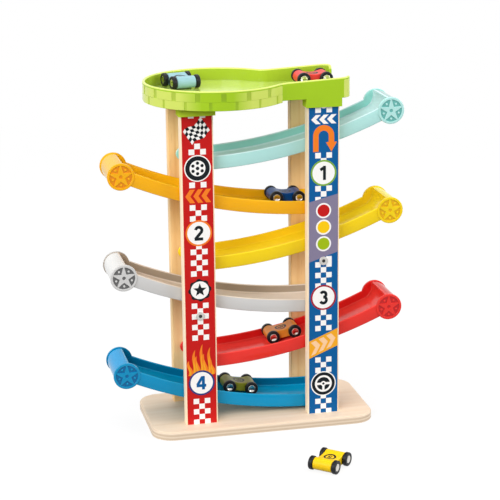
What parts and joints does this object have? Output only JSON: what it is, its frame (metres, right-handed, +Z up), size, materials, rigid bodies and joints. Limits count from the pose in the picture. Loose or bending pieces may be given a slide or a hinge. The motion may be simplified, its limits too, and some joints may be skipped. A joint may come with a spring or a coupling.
{
  "type": "click clack track toy",
  "caption": "Wooden tower toy with a round top deck and curved zigzag tracks, down which small wheeled cars roll and drop from track to track.",
  "frame": {"origin": "centre of the base board's underside", "axes": "+X towards the top deck's open end, +Y away from the printed strips, +Z up"},
  "size_m": [0.3224, 0.2751, 0.382],
  "materials": {
    "plywood": "sanded, clear",
    "beech": "sanded, clear",
    "red_print": "printed film",
    "blue_print": "printed film",
    "green_plastic": "gloss",
    "mint_plastic": "gloss",
    "orange_plastic": "gloss",
    "yellow_plastic": "gloss",
    "grey_plastic": "gloss",
    "red_plastic": "gloss",
    "blue_plastic": "gloss",
    "steel": "plated",
    "sleeve_metal": "plain",
    "hub_metal": "polished",
    "black_wheel": "satin",
    "sky_paint": "satin lacquer",
    "red_paint": "satin lacquer",
    "navy_paint": "satin lacquer",
    "orange_paint": "satin lacquer",
    "olive_paint": "satin lacquer",
    "yellow_paint": "satin lacquer"
  },
  "bodies": {
    "tower": {"base_board": "plywood", "post_front_left": "beech", "post_front_right": "beech", "post_back_left": "beech", "post_back_right": "beech", "label_red": "red_print", "label_blue": "blue_print", "top_deck": "green_plastic", "tie_bolts": "steel", "tie_sleeves": "sleeve_metal", "tie_nuts": "steel", "base_screws": "steel", "track_mint": "mint_plastic", "track_orange": "orange_plastic", "track_yellow": "yellow_plastic", "track_grey": "grey_plastic", "track_red": "red_plastic", "track_blue": "blue_plastic"},
    "sky_car": {"sky_car_body": "sky_paint"},
    "sky_front_wheelset": {"sky_car_front_axle": "hub_metal", "sky_car_front_wheels": "black_wheel"},
    "sky_rear_wheelset": {"sky_car_rear_axle": "hub_metal", "sky_car_rear_wheels": "black_wheel"},
    "red_car": {"red_car_body": "red_paint"},
    "red_front_wheelset": {"red_car_front_axle": "hub_metal", "red_car_front_wheels": "black_wheel"},
    "red_rear_wheelset": {"red_car_rear_axle": "hub_metal", "red_car_rear_wheels": "black_wheel"},
    "navy_car": {"navy_car_body": "navy_paint"},
    "navy_front_wheelset": {"navy_car_front_axle": "hub_metal", "navy_car_front_wheels": "black_wheel"},
    "navy_rear_wheelset": {"navy_car_rear_axle": "hub_metal", "navy_car_rear_wheels": "black_wheel"},
    "orange_car": {"orange_car_body": "orange_paint"},
    "orange_front_wheelset": {"orange_car_front_axle": "hub_metal", "orange_car_front_wheels": "black_wheel"},
    "orange_rear_wheelset": {"orange_car_rear_axle": "hub_metal", "orange_car_rear_wheels": "black_wheel"},
    "olive_car": {"olive_car_body": "olive_paint"},
    "olive_front_wheelset": {"olive_car_front_axle": "hub_metal", "olive_car_front_wheels": "black_wheel"},
    "olive_rear_wheelset": {"olive_car_rear_axle": "hub_metal", "olive_car_rear_wheels": "black_wheel"},
    "yellow_car": {"yellow_car_body": "yellow_paint"},
    "yellow_front_wheelset": {"yellow_car_front_axle": "hub_metal", "yellow_car_front_wheels": "black_wheel"},
    "yellow_rear_wheelset": {"yellow_car_rear_axle": "hub_metal", "yellow_car_rear_wheels": "black_wheel"}
  },
  "joints": [
    {"name": "sky_car_roll", "type": "slide", "parent": "tower", "child": "sky_car", "axis": [-0.2079, 0.9781, 0], "range_m": [-0.08, 0.001]},
    {"name": "sky_front_wheels_spin", "type": "hinge", "parent": "sky_car", "child": "sky_front_wheelset", "pos_m": [-0.07209, 0.04819, 0.37255], "axis": [-0.9781, -0.2079, 0], "continuous": true},
    {"name": "sky_rear_wheels_spin", "type": "hinge", "parent": "sky_car", "child": "sky_rear_wheelset", "pos_m": [-0.06689, 0.02374, 0.37255], "axis": [-0.9781, -0.2079, 0], "continuous": true},
    {"name": "red_car_roll", "type": "slide", "parent": "tower", "child": "red_car", "axis": [1, 0, 0], "range_m": [-0.075, 0.008]},
    {"name": "red_front_wheels_spin", "type": "hinge", "parent": "red_car", "child": "red_front_wheelset", "pos_m": [0.084, 0.01767, 0.37255], "axis": [0, 1, 0], "continuous": true},
    {"name": "red_rear_wheels_spin", "type": "hinge", "parent": "red_car", "child": "red_rear_wheelset", "pos_m": [0.059, 0.01767, 0.37255], "axis": [0, 1, 0], "continuous": true},
    {"name": "navy_car_roll", "type": "hinge", "parent": "tower", "child": "navy_car", "pos_m": [0.0655, 0.0093, 0.73674], "axis": [0, -1, 0], "range_deg": [-18.66, 2.16]},
    {"name": "navy_front_wheels_spin", "type": "hinge", "parent": "navy_car", "child": "navy_front_wheelset", "pos_m": [0.05088, 0.0093, 0.24487], "axis": [0, 1, 0], "continuous": true},
    {"name": "navy_rear_wheels_spin", "type": "hinge", "parent": "navy_car", "child": "navy_rear_wheelset", "pos_m": [0.02592, 0.0093, 0.24624], "axis": [0, 1, 0], "continuous": true},
    {"name": "orange_car_roll", "type": "hinge", "parent": "tower", "child": "orange_car", "pos_m": [-0.0655, 0.0093, 0.57204], "axis": [0, -1, 0], "range_deg": [-10.63, 10.19]},
    {"name": "orange_front_wheels_spin", "type": "hinge", "parent": "orange_car", "child": "orange_front_wheelset", "pos_m": [0.02136, 0.0093, 0.08768], "axis": [0, -1, 0], "continuous": true},
    {"name": "orange_rear_wheels_spin", "type": "hinge", "parent": "orange_car", "child": "orange_rear_wheelset", "pos_m": [0.04584, 0.0093, 0.09271], "axis": [0, -1, 0], "continuous": true},
    {"name": "olive_car_roll", "type": "hinge", "parent": "tower", "child": "olive_car", "pos_m": [0.0655, 0.0093, 0.51714], "axis": [0, -1, 0], "range_deg": [-12.22, 8.6]},
    {"name": "olive_front_wheels_spin", "type": "hinge", "parent": "olive_car", "child": "olive_front_wheelset", "pos_m": [-0.00417, 0.0093, 0.03001], "axis": [0, 1, 0], "continuous": true},
    {"name": "olive_rear_wheels_spin", "type": "hinge", "parent": "olive_car", "child": "olive_rear_wheelset", "pos_m": [-0.02882, 0.0093, 0.03417], "axis": [0, 1, 0], "continuous": true},
    {"name": "yellow_car_roll", "type": "slide", "parent": "tower", "child": "yellow_car", "axis": [-0.682, -0.7314, 0], "range_m": [-0.06, 0.12]},
    {"name": "yellow_front_wheels_spin", "type": "hinge", "parent": "yellow_car", "child": "yellow_front_wheelset", "pos_m": [0.03087, -0.18264, 0.00725], "axis": [0.7314, -0.682, 0], "continuous": true},
    {"name": "yellow_rear_wheels_spin", "type": "hinge", "parent": "yellow_car", "child": "yellow_rear_wheelset", "pos_m": [0.04793, -0.16436, 0.00725], "axis": [0.7314, -0.682, 0], "continuous": true}
  ]
}
